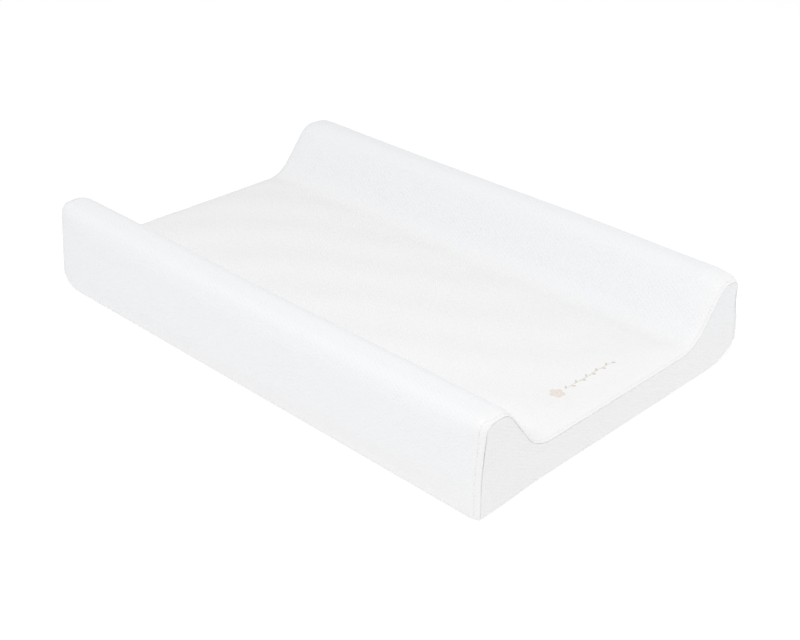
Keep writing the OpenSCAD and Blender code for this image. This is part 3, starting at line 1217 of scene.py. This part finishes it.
def film(outlines, surface, lift, thickness):
    """Thin flat shapes laid on the floor: rings of points from each outline to its middle."""
    points, faces = [], []
    for outline in outlines:
        centre = outline.mean(0)
        count = len(outline)
        start = len(points)
        for share, rise in ((1, -thickness), (1, lift * 0.6), (0.94, lift), (0.5, lift), (0, lift)):
            for x, y in (centre + (outline - centre) * share)[: count if share else 1]:
                points += surface.above((x, y, FLOOR), rise)
        faces += tube_faces(4, count, start)[:-1]
        last, middle = start + 3 * count, start + 4 * count
        faces += [(last + i, last + (i + 1) % count, middle) for i in range(count)]
    return np.array(points), faces


def ribbon_film(outline, surface, lift, thickness):
    """A long thin shape laid on the floor: its outline's two halves joined across."""
    half = len(outline) // 2
    lower, upper = outline[:half], outline[:half - 1:-1]
    points = []
    for a, b in zip(lower, upper):
        points += surface.above((*a, FLOOR), -thickness, lift)
        points += surface.above((*b, FLOOR), lift, -thickness)
    return np.array(points), tube_faces(half, 4)


def printed_motif(cover):
    """A small five-petal flower and a leafy sprig, printed on the floor near the front."""
    low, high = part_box("printed_motif")
    middle = ((low.x + high.x) / 2, (low.y + high.y) / 2)
    reach = (high.y - low.y) / 2
    flower_x = low.x + reach - middle[0]
    surface = Surface([cover], (0, 0, -1), 30 * MM)
    lift, depth = 0.07 * MM, 0.15 * MM

    def on_pad(outline):
        return turned(outline, math.radians(-2.5), middle)

    # The petals start this far from the flower's middle
    heart = 1.9 * MM
    petal = drop_outline(reach - heart, 8.4 * MM)
    petals = []
    for angle in math.pi / 2 + circle(5):
        petals.append(turned(petal + (heart, 0), angle, (flower_x, 0)))
    pale = ink_material("ink_pale", (0.75, 0.66, 0.59))
    points, faces = film([on_pad(p) for p in petals], surface, lift, depth)
    solid_piece("print_petals", points, faces, 50, pale, "printed_motif")

    stem_x = flower_x + 14 * MM
    stem_length = high.x - middle[0] - stem_x
    parts = [disc_outline(1.5 * MM) + (flower_x, 0)]
    leaf = drop_outline(5.6 * MM, 2.7 * MM)
    for number, x in enumerate(np.linspace(stem_x, stem_x + stem_length - 5 * MM, 10)):
        side = 1 if number % 2 == 0 else -1
        parts.append(turned(leaf, side * math.radians(38), (x, 0)))
    points, faces = film([on_pad(p) for p in parts], surface, lift, depth)
    stem = on_pad(stem_outline(stem_length, 0.9 * MM) + (stem_x, 0))
    stem_points, stem_faces = ribbon_film(stem, surface, lift * 0.8, depth)
    count = len(points)
    faces += [tuple(i + count for i in f) for f in stem_faces]
    dark = ink_material("ink_dark", (0.62, 0.545, 0.46))
    points = np.concatenate([points, stem_points])
    solid_piece("print_sprig", points, faces, 50, dark)


def care_label(panel):
    """A blank satin label, sewn flat at its two ends."""
    low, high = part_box("care_label")
    surface = Surface([panel], (0, -1, 0), 20 * MM)
    columns, rows = 33, 21
    points = []
    for height in (0.35 * MM, 0.1 * MM):
        for z in np.linspace(low.z, high.z, rows):
            for x in np.linspace(low.x, high.x, columns):
                share = (x - low.x) / (high.x - low.x)
                rise = 0.35 * MM * math.sin(math.pi * share) * (0.6 + 0.4 * math.sin(z * 600))
                points += surface.above((x, HALF_L, z), height + rise)
    size = rows * columns
    faces = grid_faces(rows, columns)
    faces += [tuple(reversed(f)) for f in grid_faces(rows, columns, size)]
    rim = border_of(np.arange(size).reshape(rows, columns)).tolist()
    for a, b in zip(rim, rim[1:] + rim[:1]):
        faces.append((a, b, b + size, a + size))
    satin = woven_material("label_satin", (0.86, 0.86, 0.85, 1), 0.5 * MM, 0.02 * MM, 0.4, 0.35)
    piece = solid_piece("label_blank", points, faces, 50, satin, "care_label")
    size = (high.x - low.x, high.z - low.z)


# --- Build ---

make_camera()
make_studio()

PLAIN_WHITE = (0.858, 0.858, 0.858, 1)
# The end panels' white is a little darker: painted shade, as they get less light
END_PAINTED_SHADE_WHITE = (0.856, 0.856, 0.856, 1)
# A bluish white for the painted bluish light on the leatherette
PAINTED_BLUE_LIGHT_WHITE = (0.85, 0.858, 0.874, 1)
MAIN_SKIN = leatherette("leatherette_main", PLAIN_WHITE, PAINTED_BLUE_LIGHT_WHITE, 4.2 * MM, 0.28 * MM, True)
END_SKIN = leatherette("leatherette_end", END_PAINTED_SHADE_WHITE, PAINTED_BLUE_LIGHT_WHITE, 3.8 * MM, 0.3 * MM)
BASE_SKIN = leatherette("leatherette_base", PLAIN_WHITE, PLAIN_WHITE, 4.2 * MM, 0.36 * MM)
# Twisted sewing thread: slanting plies across each stitch, with painted shade in the grooves
# between them
THREAD = flecked_material(
    "sewing_thread", ("TexWave", {"Scale": 900, "Distortion": 0.6, "Detail": 1}), 0.08 * MM,
    (0.84, 0.84, 0.835), (0.93, 0.93, 0.925), {"Roughness": 0.6, "Sheen Weight": 0.3},
    bands_direction="DIAGONAL",
)
METAL = metal_material()
# Moulded teeth: off-white, a little translucent, with a faint mould texture
NYLON = flecked_material(
    "moulded_nylon", ("TexNoise", {"Scale": 1800, "Detail": 2}), 0.02 * MM,
    (0.84, 0.84, 0.82), (0.9, 0.9, 0.885),
    {"Roughness": 0.38, "Subsurface Weight": 0.15, "Subsurface Scale": 0.5 * MM},
)
TAPE = woven_material("woven_tape", (0.85, 0.85, 0.835, 1), 0.7 * MM, 0.08 * MM)
CORE_FOAM = foam_material("foam_core", (0.9, 0.85, 0.68, 1), 1.1 * MM)
SIDE_FOAM = foam_material("foam_bolster", (0.86, 0.78, 0.55, 1), 0.9 * MM)

swell = Swell()
cover, cover_surface, cover_width = main_panel(swell)
end_front = end_panel("cover_front", -1, base_line, top_line, True, 26, swell)
rear_upper = end_panel("cover_rear_upper", 1, above_zip, top_line, False, 20, swell)
rear_lower = end_panel("cover_rear_lower", 1, base_line, below_zip, True, 6, swell)
under = underside(swell)
# Seam allowance of a flat cut, both edges together
HEM_CUT = 20 * MM


def cut_area(lower, upper):
    """Area of an end panel's flat cut: inside its seam line, and a quarter of HEM_CUT beyond it
    all round."""
    x, z = np.concatenate([lower(0), upper(0)[::-1]]).T
    inside = abs(np.sum(x * np.roll(z, -1) - z * np.roll(x, -1))) / 2
    border = np.hypot(np.diff(x, append=x[0]), np.diff(z, append=z[0])).sum()
    return inside + border * HEM_CUT / 4


across_cut = 2 * HALF_W + HEM_CUT
along_cut = 2 * HALF_L + HEM_CUT
end_cut = (across_cut, TOP + HEM_CUT)
upper_cut = (across_cut, TOP + HEM_CUT - ZIP_Z)
lower_cut = (across_cut, ZIP_Z + HEM_CUT)
end_area = cut_area(base_line, top_line)
upper_area = cut_area(above_zip, top_line)
lower_area = cut_area(base_line, below_zip)
for piece, paint, slot, cad, flat, area in (
    (cover, MAIN_SKIN, "cover_leatherette", "main_panel", (cover_width + HEM_CUT, along_cut), None),
    (end_front, END_SKIN, "end_leatherette", "front_end_panel", end_cut, end_area),
    (rear_upper, END_SKIN, "end_leatherette", "rear_upper_panel", upper_cut, upper_area),
    (rear_lower, END_SKIN, "end_leatherette", "rear_lower_panel", lower_cut, lower_area),
    (under, BASE_SKIN, "base_leatherette", "bottom_panel", (across_cut, along_cut), None),
):
    finish_piece(piece, paint, cad)

foam_block("center_foam", CORE_FOAM)
foam_block("left_bolster_foam", SIDE_FOAM)
foam_block("right_bolster_foam", SIDE_FOAM)

topstitch("stitches_front", cover_surface, STITCH_ROW, "front_topstitching")
topstitch("stitches_rear", cover_surface, -1 - STITCH_ROW, "rear_topstitching")
zip_stitching([rear_upper, rear_lower])

tape("tape_upper", "zipper_tape_upper", 1)
tape("tape_lower", "zipper_tape_lower", -1)
chain("teeth_upper", "zipper_chain_upper", 1, 0)
chain("teeth_lower", "zipper_chain_lower", -1, TOOTH_PITCH / 2)
for part, edge, body in (
    ("slider", 0.18, "slider"),
    ("pull", 0.2, "pull"),
    ("top_stops", 0.25, "pad"),
    ("bottom_stop", 0.3, "pad"),
):
    softened("zip_" + part, "zipper_" + part, edge * MM, METAL, body)
tabs = softened("zip_end_tabs", "zipper_end_tabs", 0.3 * MM, END_SKIN)
_, tab_y, tab_z = positions(tabs).T
level = np.ones(len(tab_y))
mark(tabs, np.column_stack([tab_y, tab_z, level]), 0 * level)

care_label(rear_upper)
printed_motif(cover)
